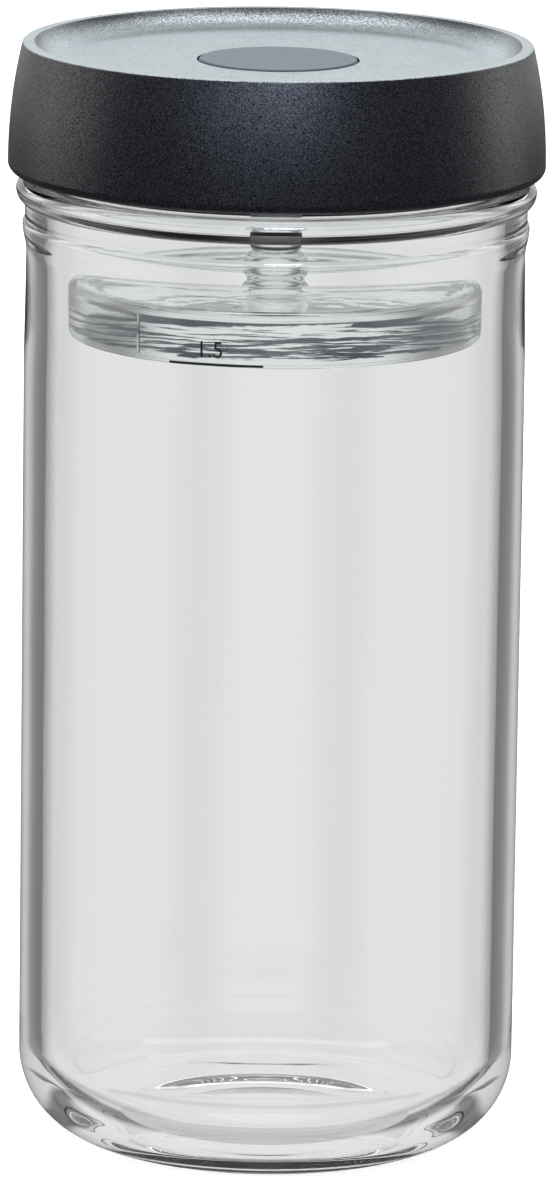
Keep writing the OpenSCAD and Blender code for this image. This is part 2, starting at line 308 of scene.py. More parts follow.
@dataclass(frozen=True)
class GrainedPlastic(Finish):
    """Moulded plastic from a spark-eroded tool: a fine grain that scatters light in specks; the
    lighter colour on the grain's peaks is painted glint.
    """

    colour: str
    # painted glints: a lighter colour that is mixed in on the grain's peaks
    glint_speck_colour: str
    roughness: float
    roughness_drift: tuple = (-0.04, 0.05)
    grain_mm: float = 0.3
    grain_depth_mm: float = 0.045
    cloud_mm: float = 14.0
    # grain heights over which the painted glint colour comes in
    glint_speck_band: tuple = (0.45, 0.75)
    shine_band: tuple = (0.35, 0.65)
    specular: float = 0.5
    sparkle: float = 0.4

    def surface(self, tree: bpy.types.NodeTree) -> bpy.types.NodeSocket:
        """Shade the plastic, with its grain as bump, a faint speckle in shine, and painted glints:
        a lighter colour on the grain's peaks.
        """
        grain = noise_height(tree, self.grain_mm, detail=2.0)
        cloud = noise_height(tree, self.cloud_mm, detail=1.0)
        glint_speck = map_range(tree, grain, self.glint_speck_band)
        rough = tuple(self.roughness + drift for drift in self.roughness_drift)
        shine = (self.specular - self.sparkle, self.specular + self.sparkle)
        return principled(tree, {
            # painted glints: the base colour turns lighter on the grain's peaks
            "Base Color": mix_colours(tree, glint_speck, linear(self.colour), linear(self.glint_speck_colour)),
            "Roughness": map_range(tree, cloud, (0.0, 1.0), rough),
            "Specular IOR Level": map_range(tree, grain, self.shine_band, shine),
            "IOR": PLASTIC_IOR,
            "Normal": bump_from(tree, grain, self.grain_depth_mm),
        })


@dataclass(frozen=True)
class MatteSilicone(Finish):
    """Moulded silicone rubber: matte and slightly dusty, with a soft sheen at the edges."""

    colour: str
    bloom_colour: str
    roughness: float = 0.62
    gloss: float = 0.5
    sheen: float = 0.15
    sheen_roughness: float = 0.4
    bloom_mm: float = 5.0
    skin_mm: float = 0.5
    skin_depth_mm: float = 0.01

    def surface(self, tree: bpy.types.NodeTree) -> bpy.types.NodeSocket:
        """Shade the rubber, with a faint bloom in its colour and a very fine skin."""
        bloom = noise_height(tree, self.bloom_mm, detail=3.0)
        skin = noise_height(tree, self.skin_mm, detail=1.0)
        return principled(tree, {
            "Base Color": mix_colours(tree, bloom, linear(self.colour), linear(self.bloom_colour)),
            "Roughness": self.roughness, "IOR": SILICONE_IOR, "Specular IOR Level": self.gloss,
            "Sheen Weight": self.sheen, "Sheen Roughness": self.sheen_roughness,
            "Normal": bump_from(tree, skin, self.skin_depth_mm),
        })


@dataclass(frozen=True)
class ShadeBandedStem(Finish):
    """Moulded stem: translucent plastic, a dark ring of painted shade where shade falls just under
    the lid's edge, and a clear silicone foot on the knob.
    """

    tube_colour: str = "DDDFDE"
    # painted shade: the ring's near-black colour stands in for the shade just under the lid's edge
    shade_band_colour: str = "18181A"
    foot_colour: str = "F4F6F6"
    # heights in millimetres of the ring of painted shade
    shade_band_mm: tuple = (211.5, 217.0)
    roughness: float = 0.35
    foot_roughness: float = 0.12
    tube_clearness: float = 0.7
    skin_mm: float = 0.8
    skin_depth_mm: float = 0.004

    def surface(self, tree: bpy.types.NodeTree) -> bpy.types.NodeSocket:
        """Shade foot, ring and tube, and part them at the ring's two heights; the dark ring is
        painted shade.
        """
        height = place_parts(tree).outputs["Z"]
        skin = noise_height(tree, self.skin_mm, detail=1.0)
        normal = bump_from(tree, skin, self.skin_depth_mm)
        total = principled(tree, {
            "Base Color": linear(self.foot_colour), "Roughness": self.foot_roughness,
            "IOR": SILICONE_IOR, "Transmission Weight": 1.0, "Normal": normal,
        })
        # painted shade: a dark shader for the band where shade falls under the lid
        ring = principled(tree, {
            "Base Color": linear(self.shade_band_colour), "Roughness": self.roughness,
            "IOR": SILICONE_IOR, "Normal": normal,
        })
        tube = principled(tree, {
            "Base Color": linear(self.tube_colour), "Roughness": self.roughness,
            "IOR": PLASTIC_IOR, "Transmission Weight": self.tube_clearness, "Normal": normal,
        })
        for border, upper in zip(self.shade_band_mm, (ring, tube)):
            above = math_node(tree, "GREATER_THAN", height, border * MM)
            total = mix_shaders(tree, above, total, upper)
        return total


@dataclass(frozen=True)
class ScreenInk(Finish):
    """Screen-printed enamel ink, fired on the glass: opaque, slightly glossy and uneven."""

    colour: str = "151515"
    patch_mm: float = 1.2
    roughness: tuple = (0.32, 0.45)

    def surface(self, tree: bpy.types.NodeTree) -> bpy.types.NodeSocket:
        """Shade the ink, with its roughness varied by a fine noise."""
        patch = noise_height(tree, self.patch_mm, detail=1.0)
        return principled(tree, {
            "Base Color": linear(self.colour), "IOR": GLASS_IOR,
            "Roughness": map_range(tree, patch, (0.0, 1.0), self.roughness),
        })


def deselect_all() -> None:
    """Leave edit mode and clear the selection, so that an operator acts on its own object."""
    if bpy.context.object and bpy.context.object.mode != "OBJECT":
        bpy.ops.object.mode_set(mode="OBJECT")
    bpy.ops.object.select_all(action="DESELECT")


def activate(obj: bpy.types.Object) -> None:
    """Select one object and make it the active one."""
    deselect_all()
    obj.select_set(True)
    bpy.context.view_layer.objects.active = obj


def apply_modifier(obj: bpy.types.Object, kind: str, **settings) -> None:
    """Add a modifier to an object, set it up and apply it.

    Args:
        obj: the object.
        kind: the modifier's type.
        **settings: the modifier's attributes.
    """
    activate(obj)
    bpy.ops.object.modifier_add(type=kind)
    modifier = obj.modifiers[-1]
    for name, value in settings.items():
        setattr(modifier, name, value)
    bpy.ops.object.modifier_apply(modifier=modifier.name)


def fuse(obj: bpy.types.Object, other: bpy.types.Object) -> None:
    """Fuse a second object into the first and remove it."""
    apply_modifier(obj, "BOOLEAN", object=other, operation="UNION", solver="EXACT")
    bpy.data.objects.remove(other)


def smooth(obj: bpy.types.Object, degrees: float = 35) -> None:
    """Shade an object smooth, apart from edges sharper than an angle."""
    activate(obj)
    bpy.ops.object.shade_smooth_by_angle(angle=math.radians(degrees))


def dress(obj: bpy.types.Object, material: bpy.types.Material) -> None:
    """Give an object one material in place of what it has."""
    obj.data.materials.clear()
    obj.data.materials.append(material)


def arc(centre: Point, radius: float, start: float, end: float, steps: int) -> list[Point]:
    """Points along an arc in the plane of radius and height.

    Args:
        centre: the arc's centre.
        radius: the arc's radius.
        start: first angle in degrees, from outwards towards up.
        end: last angle in degrees.
        steps: number of stretches.

    Returns:
        The arc's points, both ends among them.
    """
    turns = [math.radians(start + (end - start) * i / steps) for i in range(steps + 1)]
    return [(centre[0] + radius * math.cos(t), centre[1] + radius * math.sin(t)) for t in turns]


def evenly(start: Point, end: Point, step: float) -> list[Point]:
    """Points along a straight stretch of outline, without its ends.

    Args:
        start: the stretch's first end.
        end: its last end.
        step: about how far apart the points are.

    Returns:
        The points between the ends.
    """
    count = max(1, round(math.dist(start, end) / step))
    return [tuple(a + (b - a) * i / count for a, b in zip(start, end)) for i in range(1, count)]


def double_curve(start: Point, end: Point, steps: int) -> list[Point]:
    """Points of a smooth double curve between two heights.

    Args:
        start: where the curve starts, straight up or down.
        end: where it ends, straight up or down.
        steps: number of stretches.

    Returns:
        The curve's points, without its start.
    """
    points = []
    for i in range(1, steps + 1):
        share = i / steps
        blend = (1 - math.cos(math.pi * share)) / 2
        points.append((start[0] + (end[0] - start[0]) * blend,
                       start[1] + (end[1] - start[1]) * share))
    return points


def draw_outline(name: str, outline: list[Point]) -> bpy.types.Object:
    """Draw an outline as a chain of edges, extruded step by step from one vertex of a plane.

    Args:
        name: the new object's name.
        outline: the points.

    Returns:
        The object, still in edit mode with its whole chain selected.
    """
    deselect_all()
    bpy.ops.mesh.primitive_plane_add(size=MM, location=(0, 0, 0))
    obj = bpy.context.object
    obj.name = obj.data.name = name
    bpy.ops.object.mode_set(mode="EDIT")
    mesh = bmesh.from_edit_mesh(obj.data)
    mesh.verts.ensure_lookup_table()
    for vert in mesh.verts:
        vert.select_set(vert.index > 0)
    mesh.select_flush_mode()
    bpy.ops.mesh.delete(type="VERT")
    mesh = bmesh.from_edit_mesh(obj.data)
    first = next(iter(mesh.verts))
    first.co = (outline[0][0] * MM, 0, outline[0][1] * MM)
    first.select_set(True)
    bmesh.update_edit_mesh(obj.data)
    for before, after in zip(outline, outline[1:]):
        move = ((after[0] - before[0]) * MM, 0, (after[1] - before[1]) * MM)
        bpy.ops.mesh.extrude_region_move(TRANSFORM_OT_translate={"value": move})
    bpy.ops.mesh.select_all(action="SELECT")
    return obj


def merge(distance: float) -> None:
    """Merge the doubles of the mesh in edit mode and point its faces outwards."""
    bpy.ops.mesh.select_all(action="SELECT")
    bpy.ops.mesh.remove_doubles(threshold=distance)
    bpy.ops.mesh.normals_make_consistent(inside=False)


def turn_solid(name: str, outline: list[Point], segments: int) -> bpy.types.Object:
    """Spin an outline that starts and ends on the axis into a closed solid.

    Args:
        name: the new object's name.
        outline: the points.
        segments: steps round the axis.

    Returns:
        The solid, with its doubles merged and its faces pointing outwards.
    """
    obj = draw_outline(name, outline)
    bpy.ops.mesh.spin(steps=segments, angle=math.tau, center=(0, 0, 0), axis=(0, 0, 1))
    merge(MERGE_TURNED)
    bpy.ops.object.mode_set(mode="OBJECT")
    return obj


@dataclass
class ScrewRib:
    """One start of a screw thread: a rounded rib that follows a helix and runs out at both ends."""

    wall_r: float
    start_z: float
    side: Side
    height: float = 1.3
    width: float = 2.6
    root: float = 0.6
    nose_steps: int = 10
    rise: float = 4.0
    sweep: float = 105.0
    steps: int = 42
    run_deg: float = 12.0
    sink: float = 0.2

    def build(self, name: str, angle: float) -> bpy.types.Object:
        """Sweep the rib's section with a screw modifier, taper its ends and turn it to its angle.

        Args:
            name: the new object's name.
            angle: where the rib starts, in degrees about Z.

        Returns:
            The closed rib.
        """
        obj = draw_outline(name, self.section())
        bpy.ops.mesh.remove_doubles(threshold=MERGE_DRAWN)
        bpy.ops.object.mode_set(mode="OBJECT")
        apply_modifier(obj, "SCREW", axis="Z", angle=math.radians(self.sweep),
                       screw_offset=self.rise * MM, steps=self.steps, render_steps=self.steps,
                       use_smooth_shade=True)
        self.run_out(obj)
        activate(obj)
        bpy.ops.object.mode_set(mode="EDIT")
        bpy.ops.mesh.select_all(action="DESELECT")
        bpy.ops.mesh.select_non_manifold()
        bpy.ops.mesh.fill()
        bpy.ops.mesh.select_all(action="SELECT")
        bpy.ops.mesh.normals_make_consistent(inside=False)
        bpy.ops.transform.rotate(value=-math.radians(angle), orient_axis="Z",
                                 center_override=(0, 0, 0))
        bpy.ops.object.mode_set(mode="OBJECT")
        return obj

    def section(self) -> list[Point]:
        """Closed section of the rib: an oval nose on a root that reaches into the wall."""
        out = self.side.value
        half = self.width / 2
        turns = [math.radians(180 * i / self.nose_steps - 90) for i in range(self.nose_steps + 1)]
        nose = [(self.wall_r + out * self.height * math.cos(t), self.start_z + half * math.sin(t))
                for t in turns]
        back = self.wall_r - out * self.root
        start = (back, self.start_z - half)
        return [start, *nose, (back, self.start_z + half), start]

    def run_out(self, obj: bpy.types.Object) -> None:
        """Sink the rib's nose into its wall over the last degrees of both ends."""
        run = math.radians(self.run_deg)
        sweep = math.radians(self.sweep)
        gap_middle = math.pi + sweep / 2
        wall = self.wall_r * MM
        for vert in obj.data.vertices:
            radius = math.hypot(vert.co.x, vert.co.y)
            turn = math.atan2(vert.co.y, vert.co.x) % math.tau
            turn = min(turn, sweep) if turn < gap_middle else 0.0
            share = min(1.0, turn / run, (sweep - turn) / run)
            sunk = wall + (radius - wall) * share - self.side.value * self.sink * MM * (1 - share)
            if (radius - wall) * self.side.value > 0:
                vert.co.x *= sunk / radius
                vert.co.y *= sunk / radius


@dataclass
class GlassJar:
    """The glass jar: foot with a push-up, straight wall, ridge, bead, and a threaded neck."""

    glass: ClearGlass
    radius: float = 56.5
    wall: float = 5.0
    floor: float = 8.0
    body_h: float = 206.5
    foot_round: float = 19.2
    inner_round: float = 14.0
    punt_r: float = 33.0
    punt_h: float = 2.4
    waist_in: float = 0.35
    waist_h: float = 27.0
    flank_h: float = 6.0
    ridge_up: float = 3.8
    ridge_t: float = 2.0
    ridge_out: float = 0.5
    bead_up: float = 11.9
    bead_top_t: float = 2.2
    bead_low_t: float = 3.4
    bead_out: float = 2.0
    neck_round: float = 0.4
    neck_h: float = 33.2
    mouth_r: float = 48.8
    mouth_wall: float = 3.8
    rim_round: float = 1.2
    shoulder_up: float = 10.5
    shoulder_h: float = 8.0
    thread_starts: int = 3
    thread_down: float = 11.5
    segments: int = 192
    wall_step: float = 6.0
    neck_step: float = 1.0
    bore_step: float = 3.0
    punt_steps: int = 10
    foot_steps: int = 24
    bend_steps: int = 20
    curve_steps: int = 12
    ridge_steps: int = 6
    cove_steps: int = 4
    rim_steps: int = 6
    shoulder_steps: int = 24

    @property
    def rim_z(self) -> float:
        """Height of the glass rim."""
        return self.body_h + self.neck_h

    @property
    def neck_r(self) -> float:
        """Outer radius of the neck."""
        return self.mouth_r + self.mouth_wall

    def outer_outline(self) -> list[Point]:
        """Outline from the middle of the push-up, round the foot and up to the glass rim."""
        ball_r = (self.punt_r ** 2 + self.punt_h ** 2) / (2 * self.punt_h)
        spread = math.degrees(math.asin(self.punt_r / ball_r))
        points = arc((0, self.punt_h - ball_r), ball_r, 90, 90 - spread, self.punt_steps)
        foot = (self.radius - self.foot_round, self.foot_round)
        points += arc(foot, self.foot_round, -90, 0, self.foot_steps)
        ridge = (self.radius + self.ridge_out, self.body_h + self.ridge_up)
        flank = (self.radius - self.waist_in, ridge[1] - self.flank_h)
        waist = (self.radius, flank[1] - self.waist_h)
        points += [*evenly(points[-1], waist, self.wall_step), waist]
        points += double_curve(waist, flank, self.curve_steps)
        points += double_curve(flank, ridge, self.curve_steps)
        points += self.bulge((ridge[0] - self.ridge_t, ridge[1]), self.ridge_t, 1,
                             self.ridge_steps)
        bead = (self.radius + self.bead_out, self.body_h + self.bead_up)
        points += self.bulge((bead[0] - self.bead_low_t, bead[1]), self.bead_low_t, -1,
                             self.curve_steps)
        points += arc((bead[0] - self.bead_top_t, bead[1]), self.bead_top_t, 0, 90,
                      self.curve_steps)[1:]
        cove = (self.neck_r + self.neck_round, points[-1][1] + self.neck_round)
        points += arc(cove, self.neck_round, 270, 180, self.cove_steps)
        rim = (self.neck_r - self.rim_round, self.rim_z - self.rim_round)
        points += evenly(points[-1], (self.neck_r, rim[1]), self.neck_step)
        points += arc(rim, self.rim_round, 0, 90, self.rim_steps)
        return points

    def bulge(self, centre: Point, radius: float, side: int, steps: int) -> list[Point]:
        """Part of a round section between its widest line and the jar's wall.

        Args:
            centre: the round's centre.
            radius: its radius.
            side: 1 for the part above the widest line, -1 for the part below it.
            steps: number of stretches.

        Returns:
            The part's points, from below to above.
        """
        reach = math.degrees(math.acos((self.radius - centre[0]) / radius))
        start, end = (0, reach) if side > 0 else (-reach, 0)
        return arc(centre, radius, start, end, steps)

    def inner_outline(self) -> list[Point]:
        """Outline from the glass rim down the inside to the middle of the floor."""
        low_z = self.body_h + self.shoulder_up
        neck_foot = (self.mouth_r, low_z + self.shoulder_h)
        inner_r = self.radius - self.wall
        rim = (self.mouth_r + self.rim_round, self.rim_z - self.rim_round)
        points = arc(rim, self.rim_round, 90, 180, self.rim_steps)
        points += [*evenly(points[-1], neck_foot, self.bore_step), neck_foot]
        points += double_curve(neck_foot, (inner_r, low_z), self.shoulder_steps)
        bend = (inner_r - self.inner_round, self.floor + self.inner_round)
        points += evenly(points[-1], (inner_r, bend[1]), self.wall_step)
        points += arc(bend, self.inner_round, 0, -90, self.bend_steps)
        points += [*evenly(points[-1], (0, self.floor), self.wall_step), (0, self.floor)]
        return points

    def build(self) -> bpy.types.Object:
        """Turn the jar's outline, fuse the thread's ribs to the neck and make the whole one glass.

        Returns:
            The jar, riding on its body in place of the plain node.
        """
        outline = self.outer_outline() + self.inner_outline()
        jar = turn_solid("jar_glass", outline, self.segments)
        rib = ScrewRib(self.neck_r, self.rim_z - self.thread_down, Side.OUTWARDS)
        for start in range(self.thread_starts):
            fuse(jar, rib.build(f"neck_rib_{start}", start * 360 / self.thread_starts))
        smooth(jar)
        dress(jar, self.glass.material())
        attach(jar, "jar")
        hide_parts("jar")
        return jar


@dataclass
class FillMark:
    """The printed fill line and its plain number, on the outside of the glass."""

    ink: ScreenInk
    glass_r: float = 56.5
    gap: float = 0.01
    film: float = 0.04
    line_z: float = 188.3
    line_t: float = 0.55
    left_deg: float = -24.0
    right_deg: float = -2.4
    line_steps: int = 24
    number: str = "1.5"
    number_h: float = 3.6
    number_deg: float = -14.5
    number_up: float = 1.6
    digit_share: float = 0.7

    def build(self) -> list[bpy.types.Object]:
        """Make the line and the number, wrapped on the glass.

        Returns:
            Both pieces, riding on the jar.
        """
        material = self.ink.material()
        pieces = [self.line(), self.numerals()]
        for piece in pieces:
            dress(piece, material)
            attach(piece, "jar")
        return pieces

    def line(self) -> bpy.types.Object:
        """Spin a thin rectangle through the line's angle."""
        low, high = self.line_z - self.line_t / 2, self.line_z + self.line_t / 2
        back, front = self.glass_r + self.gap, self.glass_r + self.film
        section = [(back, low), (front, low), (front, high), (back, high), (back, low)]
        obj = draw_outline("fill_line", section)
        bpy.ops.mesh.remove_doubles(threshold=MERGE_DRAWN)
        bpy.ops.mesh.edge_face_add()
        bpy.ops.transform.rotate(value=math.radians(90 - self.left_deg), orient_axis="Z",
                                 center_override=(0, 0, 0))
        sweep = math.radians(self.right_deg - self.left_deg)
        bpy.ops.mesh.spin(steps=self.line_steps, angle=-sweep, center=(0, 0, 0), axis=(0, 0, 1))
        merge(MERGE_DRAWN)
        bpy.ops.object.mode_set(mode="OBJECT")
        return obj

    def numerals(self) -> bpy.types.Object:
        """Set the number as text, make it a thin mesh and wrap it on the cylinder."""
        deselect_all()
        bpy.ops.object.text_add(location=(0, 0, 0))
        obj = bpy.context.object
        obj.name = obj.data.name = "fill_number"
        obj.data.body = self.number
        obj.data.size = self.number_h * MM / self.digit_share
        obj.data.align_x = "CENTER"
        obj.data.extrude = (self.film - self.gap) * MM / 2
        activate(obj)
        bpy.ops.object.convert(target="MESH")
        obj = bpy.context.object
        bpy.ops.object.mode_set(mode="EDIT")
        bpy.ops.mesh.select_all(action="SELECT")
        bpy.ops.mesh.remove_doubles(threshold=MERGE_TEXT)
        bpy.ops.object.mode_set(mode="OBJECT")
        middle = (self.glass_r + (self.film + self.gap) / 2) * MM
        for vert in obj.data.vertices:
            radius = middle + vert.co.z
            turn = vert.co.x / (self.glass_r * MM) + math.radians(self.number_deg)
            height = vert.co.y + (self.line_z + self.number_up) * MM
            vert.co = (radius * math.sin(turn), -radius * math.cos(turn), height)
        return obj


@dataclass
class GlassWeight:
    """The pressed glass weight: raised rim, dished face, waisted knob and seams on its side."""

    glass: ClearGlass
    radius: float = 46.7
    thickness: float = 12.5
    edge_round: float = 2.2
    low_round: float = 1.6
    rim_w: float = 3.4
    dish: float = 1.2
    knob_r: float = 7.4
    knob_h: float = 6.4
    waist_r: float = 5.85
    knob_round: float = 2.5
    wave_mm: float = 7.0
    wave_depth: float = 0.08
    wave_level: float = 0.62
    seam_deg: float = -38.7
    seam_r: float = 0.4
    seam_sunk: float = 0.25
    seam_bevel: float = 0.25
    seam_sides: int = 16
    segments: int = 180
    face_step: float = 3.0
    side_step: float = 0.9
    top_step: float = 2.0
    low_steps: int = 6
    edge_steps: int = 8
    dish_steps: int = 5
    waist_steps: int = 14
    knob_steps: int = 9

    @property
    def knob_top(self) -> float:
        """Height of the knob's top, as the frame has it."""
        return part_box("glass_weight")[1].z / MM

    @property
    def rim_top(self) -> float:
        """Height of the raised rim."""
        return self.knob_top - self.knob_h

    def outline(self) -> list[Point]:
        """Outline from the middle of the underside, up the side, over the rim and up the knob."""
        top = self.rim_top
        low = top - self.thickness
        face = top - self.dish
        bend = self.knob_round
        heel = (self.radius - self.low_round, low + self.low_round)
        points = [(0, low), *evenly((0, low), (heel[0], low), self.face_step)]
        points += arc(heel, self.low_round, -90, 0, self.low_steps)
        edge = (self.radius - self.edge_round, top - self.edge_round)
        points += evenly(points[-1], (self.radius, edge[1]), self.side_step)
        points += arc(edge, self.edge_round, 0, 90, self.edge_steps)
        dish_r = self.radius - self.rim_w
        points.append((dish_r, top))
        points += arc((dish_r - self.dish, face + self.dish), self.dish, 0, -90, self.dish_steps)
        points += evenly(points[-1], (self.waist_r + bend, face), self.face_step)
        flare = math.degrees(math.acos((self.knob_r - self.waist_r - bend) / bend))
        points += arc((self.waist_r + bend, face + bend), bend, 270, flare, self.waist_steps)
        points += arc((self.knob_r - bend, self.knob_top - bend), bend, 0, 90, self.knob_steps)
        middle = (0, self.knob_top)
        points += [*evenly(points[-1], middle, self.top_step), middle]
        return points

    def build(self) -> bpy.types.Object:
        """Turn the weight, fuse its mould seams and let its side wave as pressed glass does.

        Returns:
            The weight, riding on its body in place of the plain node.
        """
        weight = turn_solid("weight_glass", self.outline(), self.segments)
        waves = bpy.data.textures.new("pressed_waves", "CLOUDS")
        waves.noise_scale = self.wave_mm * MM
        waves.noise_depth = 1
        apply_modifier(weight, "DISPLACE", texture=waves, texture_coords="LOCAL",
                       strength=self.wave_depth * MM, mid_level=self.wave_level)
        for turn in (self.seam_deg, self.seam_deg + 180):
            fuse(weight, self.seam(turn))
        smooth(weight)
        dress(weight, self.glass.material())
        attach(weight, "weight")
        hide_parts("glass_weight")
        return weight

    def seam(self, turn: float) -> bpy.types.Object:
        """Round bead along the side, where the two halves of the mould met.

        Args:
            turn: its place about Z in degrees, from the front towards +X.

        Returns:
            The bead, with rounded ends.
        """
        deselect_all()
        reach = (self.radius - self.seam_sunk * self.seam_r) * MM
        at = math.radians(turn)
        height = self.thickness - self.low_round - self.edge_round
        middle = self.rim_top - self.edge_round - height / 2
        bpy.ops.mesh.primitive_cylinder_add(
            vertices=self.seam_sides, radius=self.seam_r * MM, depth=height * MM,
            location=(reach * math.sin(at), -reach * math.cos(at), middle * MM))
        obj = bpy.context.object
        bpy.ops.object.transform_apply(location=True, rotation=False, scale=False)
        apply_modifier(obj, "BEVEL", width=self.seam_bevel * MM, segments=2)
        return obj


@dataclass
class ScrewLid:
    """The lid: its grained outer cover, its smooth threaded liner and the seal."""

    cover: GrainedPlastic
    liner: GrainedPlastic
    seal: MatteSilicone
    liner_r: float = 54.5
    thread_starts: int = 3
    thread_up: float = 1.5

    def build(self) -> list[bpy.types.Object]:
        """Dress the lid's nodes and add the liner's thread.

        Returns:
            The thread's ribs.
        """
        dress(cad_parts["lid_shell"], self.cover.material())
        liner = self.liner.material()
        dress(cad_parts["lid_liner"], liner)
        dress(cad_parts["seal_ring"], self.seal.material())
        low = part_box("lid_liner")[0].z / MM
        rib = ScrewRib(self.liner_r, low + self.thread_up, Side.INWARDS)
        ribs = []
        for start in range(self.thread_starts):
            obj = rib.build(f"liner_rib_{start}", start * 360 / self.thread_starts)
            smooth(obj)
            dress(obj, liner)
            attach(obj, "lid")
            ribs.append(obj)
        return ribs


@dataclass
class VentValve:
    """The valve in the lid: hollow stem, umbrella flap and the silicone cap."""

    stem: ShadeBandedStem
    flap: MatteSilicone
    cap: MatteSilicone

    def build(self) -> None:
        """Dress the valve's nodes."""
        dress(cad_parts["press_stem"], self.stem.material())
        dress(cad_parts["valve_flap"], self.flap.material())
        dress(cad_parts["valve_cap"], self.cap.material())


@dataclass(frozen=True)
class Glow:
    """How bright a paper is for the camera, for a mirrored ray and for a ray through glass."""

    camera: float
    mirrored: float
    through: float


@dataclass(frozen=True)
class StudioPaper(Finish):
    """White studio paper, whose brightness is set apart for each kind of look.

    Far from the middle, where little lamp light falls, the camera sees more glow: none is added
    up to the start of far_reach, and all of far from its end.
    """

    glow: Glow
    far: float = 0.0
    far_reach: tuple = (0.4, 1.1)
    colour: str = "F2F2F2"

    def surface(self, tree: bpy.types.NodeTree) -> bpy.types.NodeSocket:
        """Shade the paper: lit and glowing for most rays, glowing alone for a mirrored one."""
        path = add_node(tree, "ShaderNodeLightPath")
        seen = path.outputs["Is Camera Ray"]
        bent = path.outputs["Is Transmission Ray"]
        mirrored = math_node(tree, "SUBTRACT", path.outputs["Is Glossy Ray"], bent, clamp=True)
        strength = 0.0
        for ray, level in ((seen, self.glow.camera), (mirrored, self.glow.mirrored),
                           (bent, self.glow.through)):
            strength = math_node(tree, "MULTIPLY_ADD", ray, level, strength)
        if self.far:
            place = add_node(tree, "ShaderNodeTexCoord")
            reach = add_node(tree, "ShaderNodeVectorMath", {
                "operation": "LENGTH", "Vector": place.outputs["Object"],
            })
            lift = map_range(tree, reach.outputs["Value"], self.far_reach, (0.0, self.far))
            strength = math_node(tree, "MULTIPLY_ADD", lift, seen, strength)
        lit = add_node(tree, "ShaderNodeBsdfDiffuse", {"Color": linear(self.colour)})
        light = emission(tree, linear("FFFFFF"), strength)
        total = add_node(tree, "ShaderNodeAddShader")
        feed(tree, lit.outputs["BSDF"], total.inputs[0])
        feed(tree, light, total.inputs[1])
        return mix_shaders(tree, mirrored, total.outputs["Shader"], light)


@dataclass(frozen=True)
class BandedPaper(Finish):
    """Glowing paper that is seen only through glass.

    Its glow follows the angle from the Y axis, alike in all four quarters: stops holds angles
    with their levels. One zone of height is darker: it fades in over dark_from and out over
    dark_to.
    """

    strength: float = 0.82
    stops: tuple = ((15, 1.0), (32, 0.26), (44, 0.24), (56, 0.9))
    dark_colour: str = "323A43"
    dark_from: tuple = (0.346, 0.353)
    dark_to: tuple = (0.39, 0.42)

    def surface(self, tree: bpy.types.NodeTree) -> bpy.types.NodeSocket:
        """Shade the bands, with the dark zone across them."""
        parts = place_parts(tree)
        sides = [math_node(tree, "ABSOLUTE", parts.outputs[axis]) for axis in "XY"]
        turn = math_node(tree, "ARCTAN2", *sides)
        quarter = math_node(tree, "MULTIPLY", turn, 2 / math.pi)
        bands = add_node(tree, "ShaderNodeValToRGB", {"Fac": quarter})
        ramp = bands.color_ramp
        ramp.interpolation = "EASE"
        while len(ramp.elements) < len(self.stops):
            ramp.elements.new(0.5)
        for element, (degrees, level) in zip(ramp.elements, self.stops):
            element.position = degrees / 90
            element.color = (level, level, level, 1)
        over = map_range(tree, parts.outputs["Z"], self.dark_from)
        under = map_range(tree, parts.outputs["Z"], self.dark_to, (1.0, 0.0))
        zone = math_node(tree, "MULTIPLY", over, under)
        tone = mix_colours(tree, zone, bands.outputs["Color"], linear(self.dark_colour))
        return emission(tree, tone, self.strength)


@dataclass(frozen=True)
class Card(Finish):
    """A bright card that only shiny surfaces see, or one that is seen only through glass.

    Its tilt is how far it leans from lying flat, about X.
    """

    place: tuple
    size: tuple
    glow: float
    tilt: float = 0.0
    colour: str = "EEFAFF"
    through: bool = False

    def surface(self, tree: bpy.types.NodeTree) -> bpy.types.NodeSocket:
        """Shade the card as plain light."""
        return emission(tree, linear(self.colour), self.glow)

    def hang(self) -> None:
        """Hang the card in the studio."""
        deselect_all()
        bpy.ops.mesh.primitive_plane_add(size=1, location=self.place,
                                         rotation=(math.radians(self.tilt), 0, 0))
        card = bpy.context.object
        card.name = self.name
        card.scale = (*self.size, 1)
        card.visible_camera = card.visible_diffuse = card.visible_shadow = False
        card.visible_transmission, card.visible_glossy = self.through, not self.through
        dress(card, self.material())


@dataclass(frozen=True)
class Lamp:
    """A soft rectangular lamp that the camera doesn't see, with its power in watts."""

    name: str
    place: tuple
    aim: tuple
    size: tuple
    power: float
    colour: str = "FFFFFF"

    def hang(self) -> None:
        """Hang the lamp in the studio and turn it to its aim."""
        data = bpy.data.lights.new(self.name, "AREA")
        data.color = linear(self.colour)[:3]
        data.shape = "RECTANGLE"
        data.size, data.size_y = self.size
        data.energy = self.power
        obj = bpy.data.objects.new(self.name, data)
        bpy.context.scene.collection.objects.link(obj)
        obj.visible_camera = False
        obj.location = self.place
        facing = Vector(self.aim) - Vector(self.place)
        obj.rotation_euler = facing.to_track_quat("-Z", "Y").to_euler()


CARDS = (
    Card("sky_card", (0, 0.85, 1.0), (1.8, 1.2), 4.2, tilt=-48),
    Card("roof_card", (0, 0.35, 1.35), (1.5, 1.2), 17.0),
)

LAMPS = (
    Lamp("left_strip", (-1.35, 0.35, 0.35), (0, 0, 0.13), (1.0, 1.1), 4.8),
    Lamp("right_strip", (1.3, 0.5, 0.35), (0, 0, 0.13), (0.7, 1.1), 4.0),
    Lamp("top_back", (0, 0.9, 1.2), (0, 0, 0.2), (1.6, 0.8), 6.0),
    Lamp("front_key", (0.12, -1.9, 1.5), (0, 0, 0.2), (0.6, 0.6), 30.0, "D0E0FF"),
    Lamp("front_strip", (-0.22, -2.3, 0.9), (0, 0, 0.24), (2.4, 0.2), 12.0, "D8E6FF"),
)


